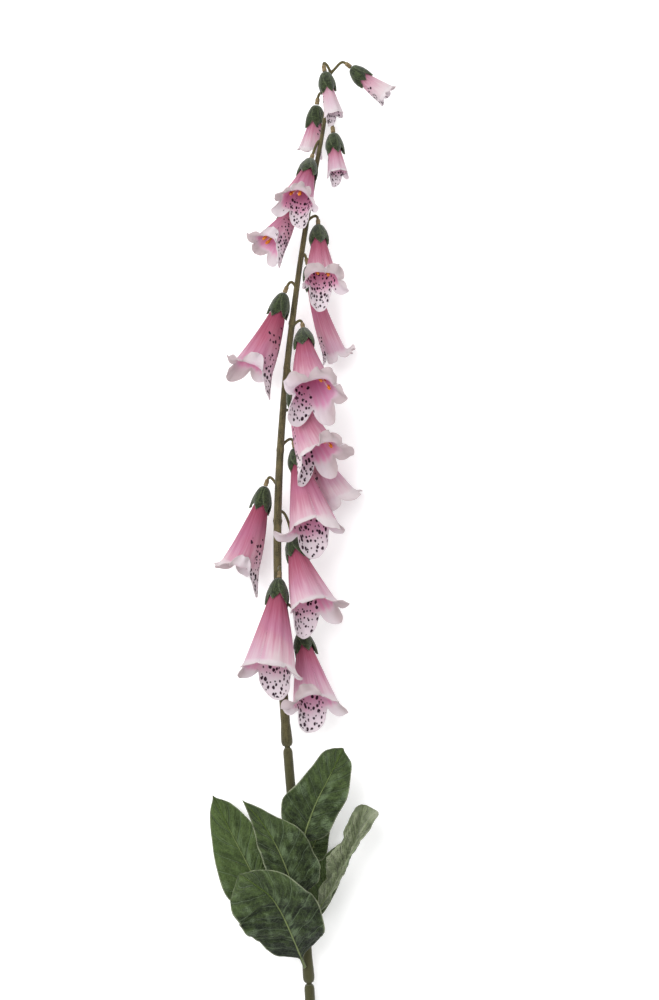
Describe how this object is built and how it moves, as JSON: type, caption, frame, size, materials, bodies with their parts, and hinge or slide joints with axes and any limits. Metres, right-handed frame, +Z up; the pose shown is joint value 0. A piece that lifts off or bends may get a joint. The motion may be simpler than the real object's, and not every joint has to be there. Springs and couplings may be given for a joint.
{
  "type": "artificial foxglove flower spike",
  "caption": "Cut foxglove spike of wired fabric lying flat, with drooping spotted bells on arched stalks, a jointed sleeved stem and broad leaves near its foot.",
  "frame": {"origin": "middle of the footprint, on the surface that the spike lies on", "axes": "+Y along the stem from its cut foot to the tip of the spike, +Z up off the surface, +X to the side of the single bell at the tip"},
  "size_m": [0.1121, 0.6211, 0.0762],
  "materials": {
    "petals": "printed satin cloth, pink at the base, white at the lips, with dark purple spots",
    "sepals": "flocked, dark green",
    "stem": "flocked plastic sleeve, olive green",
    "stamens": "orange, satin",
    "leaves": "velvety, dark green, with printed veins"
  },
  "bodies": {
    "root": {"bell_01": "petals", "bell_02": "petals", "bell_03": "petals", "bell_04": "petals", "bell_05": "petals", "bell_06": "petals", "bell_07": "petals", "bell_08": "petals", "bell_09": "petals", "bell_10": "petals", "bell_11": "petals", "bell_12": "petals", "bell_13": "petals", "bell_14": "petals", "bell_15": "petals", "bell_16": "petals", "bell_17": "petals", "calyx_01": "sepals", "calyx_02": "sepals", "calyx_03": "sepals", "calyx_04": "sepals", "calyx_05": "sepals", "calyx_06": "sepals", "calyx_07": "sepals", "calyx_08": "sepals", "calyx_09": "sepals", "calyx_10": "sepals", "calyx_11": "sepals", "calyx_12": "sepals", "calyx_13": "sepals", "calyx_14": "sepals", "calyx_15": "sepals", "calyx_16": "sepals", "calyx_17": "sepals", "leaf_centre": "leaves", "leaf_front": "leaves", "leaf_high": "leaves", "leaf_high_back": "leaves", "leaf_left": "leaves", "leaf_left_back": "leaves", "leaf_right": "leaves", "leaf_right_back": "leaves", "stamens_05": "stamens", "stamens_06": "stamens", "stamens_07": "stamens", "stamens_08": "stamens", "stamens_09": "stamens", "stamens_10": "stamens", "stamens_11": "stamens", "stamens_12": "stamens", "stamens_13": "stamens", "stamens_14": "stamens", "stamens_15": "stamens", "stamens_16": "stamens", "stamens_17": "stamens", "stem_foot": "stem", "stem_middle": "stem", "stem_upper": "stem"}
  },
  "joints": []
}
